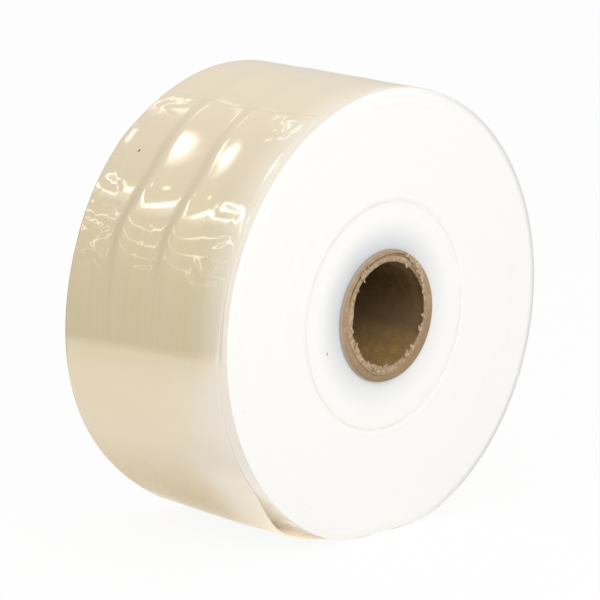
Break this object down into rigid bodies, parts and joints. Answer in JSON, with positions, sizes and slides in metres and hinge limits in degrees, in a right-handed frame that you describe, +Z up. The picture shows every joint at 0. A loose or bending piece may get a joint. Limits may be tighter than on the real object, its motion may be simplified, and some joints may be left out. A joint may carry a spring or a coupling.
{
  "type": "roll of poly tubing",
  "caption": "Roll of clear layflat polyethylene tubing wound on a spiral cardboard core, lying on its side with a loose, wrinkled outer turn.",
  "frame": {"origin": "centre of the core's bore, half way along the roll", "axes": "+Y along the core away from the end face that shows the loose turn's pocket, +Z up with the roll lying on its curved side, -X the side on which the tail hangs down"},
  "size_m": [0.3363, 0.1676, 0.3309],
  "materials": {
    "film": "clear polyethylene film, glossy on the wound side, milky white on the cut ends",
    "cardboard": "brown spiral-wound board, matte, torn inner rim"
  },
  "bodies": {
    "root": {"film_roll": "film", "cardboard_core": "cardboard"}
  },
  "joints": []
}
